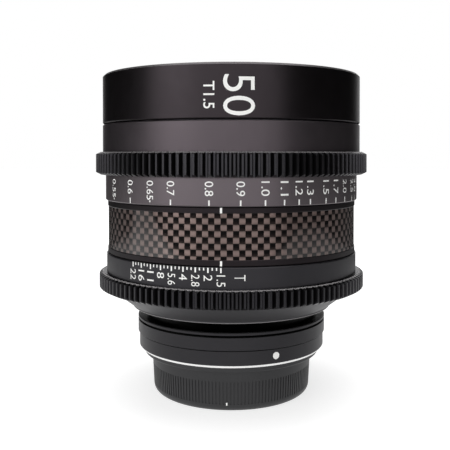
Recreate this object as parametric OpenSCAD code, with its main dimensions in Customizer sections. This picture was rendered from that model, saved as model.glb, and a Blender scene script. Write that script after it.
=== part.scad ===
// Cinema prime lens, 95 mm front, standing on its rear cap.
// The optical axis is Z, the front looks up, and the index line faces -Y.
// Outer rings slide on one long main barrel. The focus ring turns a helicoid
// that moves the optical unit along the axis, and the iris ring turns the
// drive ring of an eleven-blade iris through a fork and a tongue.

/* [Heights of the outer rings] */
// Height of the rear cap, from the floor to the mount face
cap_h = 16.4; // [14:0.1:22]
// Thickness of the bayonet flange at its edge
flange_t = 0.8; // [0.8:0.1:1.6]
// Height of the lower mount ring
mount_lo_h = 5.1; // [4.4:0.1:7]
// Height of the upper mount ring
mount_hi_h = 6.1; // [4.5:0.1:8]
// Height of the dark neck above the mount rings
neck_h = 3.4; // [2.4:0.1:5]
// Height of the straight lip under the cone
lip_h = 0.6; // [0.5:0.1:1.5]
// Height of the rear cone
cone_h = 6.0; // [5:0.1:8]
// Face width of the iris gear
iris_gear_w = 6.2; // [5:0.1:8]
// Height of the T scale band
iris_band_h = 6.9; // [6:0.1:9]
// Height of the lower trim ring
trim_lo_h = 2.1; // [1.5:0.1:4]
// Height of the carbon sleeve
carbon_h = 14.6; // [11:0.1:18]
// Height of the upper trim ring
trim_hi_h = 2; // [1.5:0.1:5]
// Height of the focus scale band
focus_band_h = 9.2; // [8:0.1:12]
// Face width of the focus gear
focus_gear_w = 8.1; // [6:0.1:10]
// Height of the smooth skirt above the focus gear
skirt_h = 9.8; // [8:0.1:14]
// Height of the groove under the front ring
front_groove_h = 0.4; // [0.2:0.1:1]
// Height of the front ring
front_h = 17.5; // [16:0.1:24]

/* [Radii of the outer rings] */
// Outside radius of the main barrel, which carries the outer rings
barrel_r = 43; // [38:0.1:48.5]
// Wall of the main barrel
barrel_wall = 2.4; // [2:0.1:3]
// Step from the main barrel out to the front ring and the skirt
front_step = 4.5; // [4:0.1:5.5]
// Wall of the front ring around the filter thread
filter_wall = 4.5; // [4:0.1:5]
// Wall of the sleeves that turn on the main barrel
sleeve_wall = 1.95; // [1.7:0.05:2.2]
// Thickness of the focus scale ring
focus_band_t = 1.45; // [1.2:0.05:1.8]
// Thickness of the trim rings
trim_t = 2.7; // [2.3:0.05:3.2]
// Thickness of the carbon sleeve
carbon_t = 2.45; // [2.1:0.05:3]
// Thickness of the T scale ring
iris_band_t = 1.1; // [0.9:0.05:1.4]
// Step from the iris sleeve in to the top of the rear cone
cone_step = 0.4; // [0.2:0.1:1]
// Radius that carries both mount rings
mount_seat_r = 30; // [26:0.1:34]
// Thickness of the upper mount ring
mount_hi_t = 4.7; // [4:0.05:5.4]
// Thickness of the lower mount ring
mount_lo_t = 4.2; // [3.5:0.05:4.8]
// Thickness of the dark neck over the mount seat
neck_t = 1.5; // [1:0.1:2]
// Step from the dark neck out to the lip under the cone
lip_step = 5.2; // [4:0.1:6]

/* [Gears] */
// Module of both gear rings
gear_module = 0.8; // [0.5:0.1:1]
// Rim of the focus gear under its teeth
focus_rim_t = 3.2; // [2.4:0.1:4]
// Rim of the iris gear under its teeth
iris_rim_t = 2; // [1.6:0.1:3]
// Height of the bevel on the tooth ends
tooth_bevel_h = 0.9; // [0.5:0.1:1.5]

/* [Motion] */
// Turn of the focus ring from rest to its near stop, in degrees
focus_near_a = 56; // [40:1:70]
// Turn of the focus ring from rest to infinity, in degrees
focus_far_a = 101; // [80:1:120]
// Lead of the focus helicoid in one turn
focus_lead = 11.1; // [8:0.1:13]
// Turn of the iris ring from open to closed, in degrees
iris_throw_a = 40.6; // [30:0.1:45]

/* [Bayonet and cap] */
// Step from the mount seat in to the bayonet spigot
spigot_step = 4.5; // [4:0.1:5]
// Step from the mount seat out to the edge of the bayonet flange
flange_step = 3.4; // [3.2:0.05:4.2]
// Wall of the bayonet spigot
spigot_wall = 1.5; // [1.2:0.1:2]
// Length of the spigot below the mount face
spigot_h = 5.4; // [5:0.1:6.5]
// Reach of the bayonet lugs beyond the spigot
lug_reach = 1.8; // [1.2:0.1:1.9]
// Thickness of the bayonet lugs
lug_t = 1.4; // [1:0.1:2]
// Width of one bayonet lug, in degrees
lug_a = 60; // [45:1:66]
// Wall of the cap at its rim
cap_wall = 2; // [1.8:0.05:3]
// Step from the wall of the cap out to its rim
cap_rim_step = 2.6; // [1.5:0.1:3]
// Height of the rim of the cap
cap_rim_h = 1.8; // [1.2:0.1:3]
// Narrowing of the cap from its rim to its floor
cap_taper = 0.7; // [0.3:0.1:1.6]
// Rounding of the bottom edge of the cap
cap_round = 2.6; // [2:0.1:4]
// Thickness of the cap floor
cap_floor = 2; // [1.5:0.1:3]
// Number of grip grooves around the cap
cap_grooves = 150; // [100:1:170]
// Depth of the grip grooves
cap_groove_d = 0.3; // [0.2:0.05:0.4]

/* [Glass] */
// Wall of the front cell around the front glass
cell_wall = 4; // [3.5:0.1:4.5]
// Wall of the nose of the front cell
nose_wall = 3.5; // [3:0.1:4]
// Width of the flat seat around the front cemented pair
pair_seat = 4.3; // [3.8:0.1:5]
// Wall of the rear cell around the last glasses
rear_cell_wall = 2.6; // [2.2:0.1:3]
// Width of the flat seat around the rear cemented pair
rear_pair_seat = 3.2; // [2.8:0.1:3.8]
// Width of the flat seat around each glass
glass_seat = 0.8; // [0.6:0.1:1]
// Air between the first and the second glass
air_12 = 1.0; // [0.6:0.1:2]
// Air between the second glass and the front pair
air_23 = 2.0; // [1.5:0.1:3]
// Air between the rear pair and the seventh glass
air_67 = 0.6; // [0.4:0.1:1.2]
// Air between the last two glasses
air_78 = 0.5; // [0.4:0.1:1.2]

/* [Iris] */
// Step from the bore of the optical barrel in to the blade pivots
pivot_step = 10; // [9:0.1:11]
// Step from the blade pivots in to the opening with the blades wide open
open_step = 7.8; // [7:0.1:8.6]
// Radius of the opening with the blades closed
iris_closed_r = 1.3; // [1:0.1:3]
// Length of the blade tail from the pivot to the drive pin
tail_l = 5; // [4.5:0.1:5.4]
// Radius of the pins on the blades
pin_r = 0.6; // [0.5:0.05:0.7]
// Thickness of one blade
blade_t = 0.1; // [0.08:0.01:0.14]
// Length of a blade around the opening, in degrees
blade_span = 115; // [106:1:118]

/* [Clearances] */
// Radial clearance of a sleeve that turns or slides
run_gap = 0.05; // [0.03:0.01:0.09]
// Height of the gap between a ring that turns and one that is fixed
ring_gap = 0.15; // [0.1:0.05:0.3]
// Clearance of a pin in its slot
pin_gap = 0.08; // [0.05:0.01:0.1]
// Clearance of a piece in its own seat
seat_gap = 0.02; // [0.01:0.01:0.04]
// Height of the gap between stacked blades
blade_gap = 0.06; // [0.04:0.01:0.1]

/* [Hidden] */
$fn = 128;
dedendum = 1.25;
tooth_foot = 0.15;
glass_fn = 360;
cut = 1;
edge = 0.3;
seam_edge = 0.2;
front_edge = 0.7;
press_a = 20;
back_a = 90;

// Heights of the outer rings, from the floor up
flange_z = cap_h;
mount_lo_z = flange_z + flange_t;
mount_hi_z = mount_lo_z + mount_lo_h;
neck_z = mount_hi_z + mount_hi_h;
lip_z = neck_z + neck_h;
cone_z = lip_z + lip_h;
iris_seat_z = cone_z + cone_h;
iris_z = iris_seat_z + ring_gap;
iris_gear_top = iris_z + iris_gear_w;
iris_top = iris_gear_top + iris_band_h;
trim_lo_z = iris_top + ring_gap;
carbon_z = trim_lo_z + trim_lo_h;
carbon_top = carbon_z + carbon_h;
trim_hi_top = carbon_top + trim_hi_h;
focus_z = trim_hi_top + ring_gap;
focus_gear_z = focus_z + focus_band_h;
focus_gear_top = focus_gear_z + focus_gear_w;
focus_top = focus_gear_top + skirt_h;
front_z = focus_top + front_groove_h;
front_top = front_z + front_h;

// Main barrel and front ring
front_r = barrel_r + front_step;
filter_r = front_r - filter_wall;
filter_depth = 7;
front_seat_h = 6;
front_ledge = 2;
barrel_in = barrel_r - barrel_wall;
barrel_top = front_z + front_seat_h;
filter_z = front_top - filter_depth;
baffle_t = 0.8;
baffle_over = 2;
baffle_gap = 0.8;
baffle_rim = 1;
baffle_fit = 0.6;
baffle_r = filter_r - baffle_fit;
baffle_z = filter_z - baffle_t;
baffle_wall = 1.5;
baffle_steps = 6;
sleeve_in = barrel_r + run_gap;
sleeve_r = sleeve_in + sleeve_wall;
focus_band_r = sleeve_r + focus_band_t;
trim_r = barrel_r + trim_t;
carbon_r = barrel_r + carbon_t;
iris_band_r = sleeve_r + iris_band_t;
cone_r = sleeve_r - cone_step;
focus_teeth = teeth_on(sleeve_r + focus_rim_t);
iris_teeth = teeth_on(sleeve_r + iris_rim_t);

// Focus travel of the optical unit
near_travel = focus_lead * focus_near_a / 360;
far_travel = focus_lead * focus_far_a / 360;

// Helicoid and the optical barrel in it
hel_wall = 3.5;
hel_stop_w = 2;
hel_stop_h = 1.4;
hel_overlap = 3.85;
hel_z = trim_hi_top - hel_overlap;
hel_drop = 1.2;
hel_top = focus_top - hel_drop;
hel_r = barrel_in - run_gap;
opt_r = hel_r - hel_wall - run_gap;
opt_wall = 4;
opt_bore = opt_r - opt_wall;
opt_drop = 0.5;
opt_top = hel_top - opt_drop;
drive_pin_r = 2;
drive_pin_z = (focus_z + focus_gear_z) / 2;
drive_pin_floor = 0.5;
drive_pin_sink = 0.4;
drive_pin_in = opt_r + run_gap + drive_pin_floor;
stop_margin_a = 0.6;

// Iris: heights count down from the stop plane, where the cage seats
pivot_r = opt_bore - pivot_step;
iris_open_r = pivot_r - open_step;
stop_rise = 19.6;
stop_z = iris_seat_z + stop_rise;
cage_plate_t = 1.6;
BLADES = ["blade_01", "blade_02", "blade_03", "blade_04", "blade_05", "blade_06",
          "blade_07", "blade_08", "blade_09", "blade_10", "blade_11"];
blade_n = len(BLADES);
blade_pitch = blade_t + blade_gap;
plate_z = stop_z - cage_plate_t;
stack_margin = 0.1;
blades_z = plate_z - stack_margin - blade_n * blade_pitch;
rotor_t = 1.4;
rotor_top = blades_z - stack_margin;
rotor_z = rotor_top - rotor_t;
retainer_t = 1.5;
cage_z = rotor_z - stack_margin - retainer_t;
blade_swing = 2 * asin((iris_open_r - iris_closed_r) / (2 * pivot_r));
blade_ratio = blade_swing / iris_throw_a;
blade_margin = 0.4;
blade_out = pivot_r - pin_r - blade_margin;
blade_root_a = 3;
blade_sectors = 3;
tail_w = 2.2;
tail_r = 1.3;
tab_w = 2.8;
tab_r = 1.7;
cage_margin = 0.4;
cage_hole_r = iris_open_r + cage_margin;
rotor_margin = 1.2;
rotor_hole_r = iris_open_r + rotor_margin;
tail_reach = norm([pivot_r + tail_l * sin(blade_swing), tail_l * cos(blade_swing)]);
rotor_rim = 0.9;
rotor_r = tail_reach + pin_r + pin_gap + rotor_rim;
cage_in = rotor_r + run_gap;
cage_wall = 1.45;
cage_r = cage_in + cage_wall;
cam_steps = 12;
cam_over_a = 1;

// Middle of the optical barrel, around the iris
mid_bore = cage_r + seat_gap;
mid_wall = 3.75;
mid_r = mid_bore + mid_wall;
mid_drop = 5.4;
mid_z = cage_z - mid_drop;
step_drop = 0.6;
step_z = hel_z - step_drop;
cage_seat_w = 1.8;
nose_r = cage_r - cage_seat_w;

// Tongue of the drive ring and the fork of the iris ring
tongue_gap = 1.5;
tongue_t = 3;
tongue_w = 3;
arm_w = 4;
tongue_in = mid_r + tongue_gap;
tongue_r = tongue_in + tongue_t;
fork_h = 3;
fork_w = 9;
fork_rise = 0.5;
fork_clear = 0.5;
fork_z = iris_gear_top + fork_rise;
fork_in = tongue_in - fork_clear;
fork_pocket = 1.15;
fork_end = sleeve_in + fork_pocket;
fork_slot_r = tongue_r + fork_clear;
window_gap = 0.2;
tongue_over = 1;
tongue_z = fork_z - near_travel - tongue_over;

// Guide keys of the optical barrel
key_w = 6;
key_h = 6;
key_gap = 0.06;
key_end_gap = 0.2;
key_margin = 0.7;
key_pocket = 1.2;
key_slot_z = trim_lo_z + key_margin;
key_z = key_slot_z + key_end_gap + far_travel;
key_slot_top = key_z + key_h + near_travel + key_end_gap;
key_sink = 0.3;
key_end = barrel_r - key_sink;
key_screw_r = 1.2;
key_head_r = 2.1;
key_head_t = 1.5;
key_screw_in = 0.6;
key_slot_d = 0.7;
key_slot_w = 0.6;

// Front group, placed up from its seat. Curvatures and thicknesses are in radii of each glass
glass1_rim = opt_bore - cell_wall;
glass1_r = glass1_rim - glass_seat;
glass1_front = 2.06 * glass1_r;
glass1_back = 5.67 * glass1_r;
glass1_t = 0.248 * glass1_r;
front_bore = nose_r - nose_wall;
glass2_r = front_bore - glass_seat;
glass2_front = 1.55 * glass2_r;
glass2_back = 3.23 * glass2_r;
glass2_t = 0.366 * glass2_r;
glass3_r = front_bore - pair_seat;
glass3_front = 2.28 * glass3_r;
glass3_back = 10.15 * glass3_r;
glass3_t = 0.355 * glass3_r;
glass4_hole_r = 0.802 * glass3_r;
glass4_back = 1.36 * glass4_hole_r;
glass4_t = 0.158 * glass4_hole_r;
cement = 0.02;
front_rise = 5.9;
front_seat_z = stop_z + front_rise;
glass4_z = front_seat_z + sag(glass4_back, glass4_hole_r);
glass3_z = glass4_z + glass4_t + cement;
glass2_z = glass3_z + glass3_t + air_23;
glass1_z = glass2_z + glass2_t + air_12;
glass3_edge = glass3_z + glass3_t - sag(glass3_front, glass3_r);
glass2_low = glass2_z - sag(glass2_back, glass2_r);
glass2_edge = glass2_z + glass2_t - sag(glass2_front, glass2_r);
glass1_low = glass1_z - sag(glass1_back, glass1_r);
glass1_edge = glass1_z + glass1_t - sag(glass1_front, glass1_r);
cell_lip_t = 2.4;
cell_flange_t = 2.5;
cell_flange_in = 0.6;
cell_flange_r = opt_r - cell_flange_in;
cell_lip_in = 0.4;
cell_bevel = 1;
cell_mouth_h = 4.5;
cell_rise = 12;
cell_seat_z = stop_z + cell_rise;
cell_top = opt_top + cell_flange_t;
lock_ring_t = 1.2;
front_lock_t = 2.5;
front_lock_w = 1.5;
notch_w = 1.6;
notch_d = 0.6;

// Radii of the mount, from the seat of its rings
mount_hi_r = mount_seat_r + mount_hi_t;
mount_lo_r = mount_seat_r + mount_lo_t;
neck_r = mount_seat_r + neck_t;
lip_r = neck_r + lip_step;
flange_r = mount_seat_r + flange_step;
spigot_r = mount_seat_r - spigot_step;
spigot_in = spigot_r - spigot_wall;

// Rear group, placed down from its seat, in the same way
rear_cell_gap = 0.6;
rear_cell_r = spigot_in - rear_cell_gap;
rear_bore = rear_cell_r - rear_cell_wall;
glass7_r = rear_bore - glass_seat;
glass7_front = 7 * glass7_r;
glass7_back = 2.4 * glass7_r;
glass7_t = 0.35 * glass7_r;
glass8_front = 3.5 * glass7_r;
glass8_back = 7.5 * glass7_r;
glass8_t = 0.3 * glass7_r;
glass5_r = rear_bore - rear_pair_seat;
glass5_hole_r = 0.824 * glass5_r;
glass5_front = 1.724 * glass5_hole_r;
glass5_back = 3.41 * glass5_r;
glass5_t = 0.125 * glass5_r;
glass6_back = 1.875 * glass5_r;
glass6_t = 0.54 * glass5_r;
rear_drop = 1.4;
rear_seat_z = cage_z - rear_drop;
glass5_z = rear_seat_z - sag(glass5_front, glass5_hole_r) - glass5_t;
glass6_z = glass5_z - cement - glass6_t;
glass7_z = glass6_z - air_67 - glass7_t;
glass8_z = glass7_z - air_78 - glass8_t;
glass6_low = glass6_z + sag(glass6_back, glass5_r);
glass7_edge = glass7_z + glass7_t - sag(glass7_front, glass7_r);
glass7_low = glass7_z + sag(glass7_back, glass7_r);
glass8_edge = glass8_z + glass8_t - sag(glass8_front, glass7_r);
glass8_low = glass8_z + sag(glass8_back, glass7_r);
rear_lock_t = 1.5;
rear_cell_over = 0.4;
rear_cell_z = glass8_low - rear_lock_t - rear_cell_over;
rear_flange_in = 0.5;
rear_flange_r = mid_r - rear_flange_in;
rear_flange_t = 1.5;
rear_lip_top = cage_z - stack_margin;

// Rear barrel, mount and cap
throat_gap = 1.3;
throat_r = rear_cell_r + throat_gap;
throat_drop = 1.5;
throat_top = lip_z - throat_drop;
barrel_spigot_h = 4;
barrel_spigot_w = 2;
ring_groove_h = 0.8;
ring_groove_d = 0.9;
thin_ring_h = 1;
ring_seam_h = 0.3;
ring_seam_d = 0.8;
spigot_z = flange_z - spigot_h;
lug_r = spigot_r + lug_reach;
lug_n = 3;
mask_t = 1.2;
mask_rim = 1.8;
mask_a = 35.8;
mask_w = 2 * (spigot_in - mask_rim) * cos(mask_a);
mask_l = 2 * (spigot_in - mask_rim) * sin(mask_a);
mask_rise = 0.4;
mask_z = spigot_z + mask_rise;
mount_screw_n = 4;
mount_screw_r = 1;
mount_head_r = 1.9;
mount_screw_l = 4;
mount_screw_in = 0.75;
mount_screw_pcd_r = (mount_seat_r + mount_lo_r) / 2 - mount_screw_in;
lock_hole_r = 1.5;
lock_hole_a = 0;
mount_slot_w = 0.5;
mount_slot_d = 0.45;
dot_r = 1.2;
dot_a = -60;
dot_depth = 1.5;
dot_rise = 0.1;
dot_z = mount_lo_z + mount_lo_h / 2 + dot_rise;
cap_rim_gap = 0.15;
cap_top = cap_h - cap_rim_gap;
cap_clear = 0.3;
cap_in = lug_r + cap_clear;
cap_r = cap_in + cap_wall;
cap_tab_a = 40;
cap_tab_t = 1.4;
cap_tab_in = spigot_r + cap_clear;
cap_tab_rise = 0.8;
cap_tab_z = spigot_z + lug_t + cap_tab_rise;
cap_groove_z = 2.7;
cap_groove_top = 10.4;
cap_foot_w = 4;
cap_recess = 0.5;
cap_fillet = 0.8;
cap_groove_w = 0.5;

// Set screws of the scale rings, on the back of the lens
set_screw_r = 1;
set_screw_sink = 0.1;
set_screw_a = 50;
hex_r = 0.55;
hex_depth = 1;
iris_screw_z = (iris_gear_top + iris_top) / 2;

// Height of a spherical cap of radius r over a circle of radius a
function sag(r, a) = r - sqrt(r * r - a * a);

// A point of the plane from a radius and an angle
function polar(r, a) = [r * cos(a), r * sin(a)];

// Half section of a ring, with a bevel at its bottom and top outer edges
function ring_pts(r_in, r_out, z0, z1, low = 0, high = 0) = concat(
    [[r_in, z0]],
    low > 0 ? [[r_out - low, z0], [r_out, z0 + low]] : [[r_out, z0]],
    high > 0 ? [[r_out, z1 - high], [r_out - high, z1]] : [[r_out, z1]],
    [[r_in, z1]]);

// Involute of an angle, in degrees
function involute(a) = tan(a) * 180 / PI - a;

// Half the angle of a tooth at the radius r
function half_tooth(r, teeth) = 90 / teeth + involute(press_a)
    - involute(acos(teeth * gear_module / 2 * cos(press_a) / r));

function tip_r(teeth) = (teeth / 2 + 1) * gear_module;
function pitch_r(teeth) = teeth / 2 * gear_module;
function root_r(teeth) = (teeth / 2 - dedendum) * gear_module;

// Number of teeth whose roots come nearest to the radius r
function teeth_on(r) = round(2 * (r / gear_module + dedendum));

// Outline of a spur gear
function gear_pts(teeth) = let (radii = [root_r(teeth), pitch_r(teeth), tip_r(teeth)]) [
    for (i = [0 : teeth - 1], side = [-1, 1], j = [0 : 2])
        let (r = radii[side < 0 ? j : 2 - j])
            polar(r, i * 360 / teeth + side * half_tooth(r, teeth))];

// Centre of the drive pin of a blade at a turn of the drive ring, seen from that ring
function cam_point(turn) = let (swing = turn * blade_ratio,
    x = pivot_r + tail_l * sin(swing), y = -tail_l * cos(swing))
    [x * cos(turn) + y * sin(turn), y * cos(turn) - x * sin(turn)];

// Direction across the cam path
function cam_side(turn) = let (d = cam_point(turn + cam_over_a) - cam_point(turn - cam_over_a))
    [-d[1], d[0]] / norm(d);

module revolve(points) {
    rotate_extrude() polygon(points);
}

module ring(r_in, r_out, z0, z1, low = 0, high = 0) {
    revolve(ring_pts(r_in, r_out, z0, z1, low, high));
}

// Part of a ring between two angles, used for windows, lugs and tabs
module sector(r_in, r_out, z0, z1, a0, a1) {
    rotate(a0)
        rotate_extrude(angle = a1 - a0)
            translate([r_in, z0]) square([r_out - r_in, z1 - z0]);
}

// Round bar along a radius
module radial_bar(r, from, to, a, z) {
    rotate(a)
        translate([from, 0, z])
            rotate([0, 90, 0]) cylinder(r = r, h = to - from);
}

// Rectangular bar along a radius
module radial_block(w, from, to, a, z0, z1) {
    rotate(a)
        translate([from, -w / 2, z0]) cube([to - from, w, z1 - z0]);
}

module strip(p, q, w) {
    d = q - p;
    translate(p)
        rotate(atan2(d[1], d[0]))
            translate([0, -w / 2]) square([norm(d), w]);
}

// Gear ring with bevelled tooth ends
module gear_ring(teeth, bore, z0, w) {
    foot = root_r(teeth) + tooth_foot;
    rim = tip_r(teeth) + tooth_foot;
    difference() {
        intersection() {
            translate([0, 0, z0]) linear_extrude(w) polygon(gear_pts(teeth));
            revolve([[0, z0], [foot, z0], [rim, z0 + tooth_bevel_h],
                     [rim, z0 + w - tooth_bevel_h], [foot, z0 + w], [0, z0 + w]]);
        }
        translate([0, 0, z0 - cut]) cylinder(r = bore, h = w + 2 * cut);
    }
}

module front_ring() {
    color("#17171a")
        revolve([[barrel_r, front_z], [front_r - edge, front_z], [front_r, front_z + edge],
                 [front_r, front_top - front_edge], [front_r - front_edge, front_top],
                 [filter_r + front_edge, front_top], [filter_r, front_top - front_edge],
                 [filter_r, filter_z], [baffle_r + seat_gap, filter_z], [baffle_r + seat_gap, baffle_z],
                 [barrel_r - front_ledge, baffle_z], [barrel_r - front_ledge, barrel_top],
                 [barrel_r, barrel_top]]);
}

// Ridged light trap between the filter thread and the front glass
module front_baffle() {
    outer = barrel_r - front_ledge - seat_gap;
    inner = cell_flange_r - baffle_over;
    low = cell_top + near_travel + baffle_gap;
    dr = (outer - baffle_rim - inner) / baffle_steps;
    dz = (filter_z - low) / baffle_steps;
    stairs = [for (i = [0 : baffle_steps - 1], side = [0, 1])
        [inner + (i + side) * dr, low + (i + 1) * dz]];
    color("#0d0d0f")
        revolve(concat([[inner, low]], stairs,
            [[baffle_r, filter_z], [baffle_r, baffle_z], [outer, baffle_z],
             [outer, baffle_z - baffle_wall], [inner + baffle_wall, low]]));
}

// Long tube that carries the outer rings, with the windows for the inner drives
module main_barrel() {
    pin_a = asin(drive_pin_r / barrel_in) + stop_margin_a;
    fork_a = asin(fork_w / 2 / barrel_in) + stop_margin_a;
    color("#2a2a2d")
        difference() {
            revolve([[barrel_in, iris_seat_z], [barrel_r, iris_seat_z], [barrel_r, barrel_top],
                     [barrel_in, barrel_top], [barrel_in, hel_z - run_gap],
                     [barrel_in - hel_stop_w, hel_z - run_gap],
                     [barrel_in - hel_stop_w, hel_z - hel_stop_h], [barrel_in, hel_z - hel_stop_h]]);
            sector(barrel_in - cut, barrel_r + cut, drive_pin_z - drive_pin_r - window_gap,
                   drive_pin_z + drive_pin_r + window_gap, back_a - focus_far_a - pin_a,
                   back_a + focus_near_a + pin_a);
            sector(barrel_in - cut, barrel_r + cut, fork_z - window_gap, fork_z + fork_h + window_gap,
                   back_a - fork_a, back_a + iris_throw_a + fork_a);
            for (a = [0, 180])
                radial_block(key_w + 2 * key_gap, barrel_in - cut, barrel_r + cut, a,
                             key_slot_z, key_slot_top);
        }
}

module helicoid_retainer() {
    color("#3a3a3d")
        ring(barrel_in - hel_stop_w, barrel_in, hel_top + run_gap, hel_top + hel_stop_w);
}

module upper_trim_ring() {
    color("#161618") ring(barrel_r, trim_r, carbon_top, trim_hi_top, seam_edge, edge);
}

module carbon_sleeve() {
    color("#3b3433") ring(barrel_r, carbon_r, carbon_z, carbon_top);
}

module lower_trim_ring() {
    color("#161618") ring(barrel_r, trim_r, trim_lo_z, carbon_z, edge, seam_edge);
}

// Cone under the iris gear, with the neck and the seat of the mount rings
module rear_barrel() {
    spigot = barrel_in - seat_gap;
    hollow = spigot - barrel_spigot_w;
    top = iris_seat_z + barrel_spigot_h;
    color("#1b1b1e")
        revolve([[throat_r, mount_lo_z], [mount_seat_r, mount_lo_z], [mount_seat_r, neck_z],
                 [neck_r, neck_z], [neck_r, lip_z], [lip_r - seam_edge, lip_z],
                 [lip_r, lip_z + seam_edge], [lip_r, cone_z], [cone_r, iris_seat_z],
                 [spigot, iris_seat_z], [spigot, top], [hollow, top],
                 [hollow, iris_seat_z - edge], [throat_r, throat_top]]);
}

module mount_upper_ring() {
    groove_top = neck_z - thin_ring_h;
    groove_z = groove_top - ring_groove_h;
    color("#1d1d20")
        revolve([[mount_seat_r, mount_hi_z], [mount_hi_r - seam_edge, mount_hi_z],
                 [mount_hi_r, mount_hi_z + seam_edge], [mount_hi_r, groove_z],
                 [mount_hi_r - ring_groove_d, groove_z], [mount_hi_r - ring_groove_d, groove_top],
                 [mount_hi_r, groove_top], [mount_hi_r, neck_z - edge],
                 [mount_hi_r - edge, neck_z], [mount_seat_r, neck_z]]);
}

module mount_lower_ring() {
    color("#1d1d20")
        difference() {
            revolve([[mount_seat_r, mount_lo_z], [mount_lo_r - seam_edge, mount_lo_z],
                     [mount_lo_r, mount_lo_z + seam_edge], [mount_lo_r, mount_hi_z - ring_seam_h],
                     [mount_lo_r - ring_seam_d, mount_hi_z - ring_seam_h],
                     [mount_lo_r - ring_seam_d, mount_hi_z], [mount_seat_r, mount_hi_z]]);
            radial_bar(dot_r, mount_lo_r - dot_depth, mount_lo_r + cut, dot_a, dot_z);
            mount_screw_holes();
        }
}

module index_dot() {
    color("white")
        radial_bar(dot_r, mount_lo_r - dot_depth, mount_lo_r, dot_a, dot_z);
}

module mount_screw_places() {
    for (i = [0 : mount_screw_n - 1])
        rotate((i + 0.5) * 360 / mount_screw_n)
            translate([mount_screw_pcd_r, 0, mount_lo_z]) children();
}

module mount_screw_holes() {
    mount_screw_places()
        translate([0, 0, -cut])
            cylinder(r = mount_screw_r + seat_gap, h = mount_screw_l + 2 * cut);
}

module mount_screw_head(gap) {
    translate([0, 0, -flange_t])
        cylinder(r1 = mount_head_r + gap, r2 = mount_screw_r + gap, h = flange_t);
}

// Metal flange with the spigot and the three lugs of the bayonet, and the hole of the lock pin
module bayonet_flange() {
    color("#d6d7d9")
        difference() {
            union() {
                revolve([[spigot_in, spigot_z], [spigot_r, spigot_z], [spigot_r, flange_z],
                         [flange_r, flange_z], [flange_r, mount_lo_z], [spigot_in, mount_lo_z]]);
                for (i = [0 : lug_n - 1])
                    sector(spigot_r - edge, lug_r, spigot_z, spigot_z + lug_t,
                           i * 360 / lug_n - lug_a / 2, i * 360 / lug_n + lug_a / 2);
            }
            mount_screw_places() mount_screw_head(seat_gap);
            rotate(lock_hole_a)
                translate([mount_screw_pcd_r, 0, flange_z - cut])
                    cylinder(r = lock_hole_r, h = flange_t + 2 * cut);
        }
}

module mount_screws() {
    color("#8a8a8d")
        mount_screw_places()
            difference() {
                union() {
                    mount_screw_head(0);
                    cylinder(r = mount_screw_r, h = mount_screw_l);
                }
                for (a = [0, 90])
                    rotate(a)
                        translate([-mount_head_r, -mount_slot_w / 2, -flange_t - mount_slot_d])
                            cube([2 * mount_head_r, mount_slot_w, 2 * mount_slot_d]);
            }
}

// Mask with the picture frame's opening, seated in the spigot
module rear_mask() {
    color("#0d0d0f")
        difference() {
            translate([0, 0, mask_z]) cylinder(r = spigot_in, h = mask_t);
            translate([-mask_w / 2, -mask_l / 2, mask_z - cut]) cube([mask_w, mask_l, mask_t + 2 * cut]);
        }
}

// Inner tube of the focus ring, with the smooth skirt above the gear
module focus_sleeve() {
    color("#232326")
        difference() {
            revolve([[sleeve_in, focus_z], [sleeve_r, focus_z], [sleeve_r, focus_gear_top],
                     [front_r, focus_gear_top], [front_r, focus_top - edge],
                     [front_r - edge, focus_top], [sleeve_in, focus_top]]);
            radial_bar(drive_pin_r + seat_gap, barrel_r, sleeve_r + cut, back_a, drive_pin_z);
            set_screw_holes(sleeve_r - cut, sleeve_r + cut, drive_pin_z);
        }
}

module focus_gear_ring() {
    color("#121214") gear_ring(focus_teeth, sleeve_r, focus_gear_z, focus_gear_w);
}

module focus_scale_ring() {
    color("#26262a")
        difference() {
            ring(sleeve_r, focus_band_r, focus_z, focus_gear_z, edge);
            set_screw_holes(sleeve_r - cut, focus_band_r + cut, drive_pin_z);
        }
}

module set_screw_places() {
    for (side = [-1, 1])
        rotate(back_a + side * set_screw_a) children();
}

module set_screw_holes(from, to, z) {
    set_screw_places() radial_bar(set_screw_r + seat_gap, from, to, 0, z);
}

// Pair of set screws with hexagon sockets, just below the surface of radius r
module set_screws(r, z) {
    end = r - set_screw_sink;
    color("#3c3c40")
        set_screw_places()
            difference() {
                radial_bar(set_screw_r, sleeve_r - cut, end, 0, z);
                translate([end - hex_depth, 0, z])
                    rotate([0, 90, 0]) cylinder(r = hex_r, h = 2 * hex_depth, $fn = 6);
            }
}

module focus_set_screws() {
    set_screws(focus_band_r, drive_pin_z);
}

module helicoid_sleeve() {
    color("#b08d45")
        difference() {
            ring(opt_r + run_gap, hel_r, hel_z, hel_top);
            radial_bar(drive_pin_r + seat_gap, drive_pin_in, hel_r + cut, back_a, drive_pin_z);
        }
}

module focus_drive_pin() {
    color("#9a9a9e")
        radial_bar(drive_pin_r, drive_pin_in, sleeve_r - drive_pin_sink, back_a, drive_pin_z);
}

module iris_sleeve() {
    color("#232326")
        difference() {
            ring(sleeve_in, sleeve_r, iris_z, iris_top);
            radial_block(fork_w, barrel_r - cut, fork_end, back_a, fork_z, fork_z + fork_h);
            set_screw_holes(sleeve_r - cut, sleeve_r + cut, iris_screw_z);
        }
}

module iris_scale_ring() {
    color("#1c1c1f")
        difference() {
            ring(sleeve_r, iris_band_r, iris_gear_top, iris_top, 0, edge);
            set_screw_holes(sleeve_r - cut, iris_band_r + cut, iris_screw_z);
        }
}

module iris_gear_ring() {
    color("#121214") gear_ring(iris_teeth, sleeve_r, iris_z, iris_gear_w);
}

module iris_set_screws() {
    set_screws(iris_band_r, iris_screw_z);
}

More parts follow.
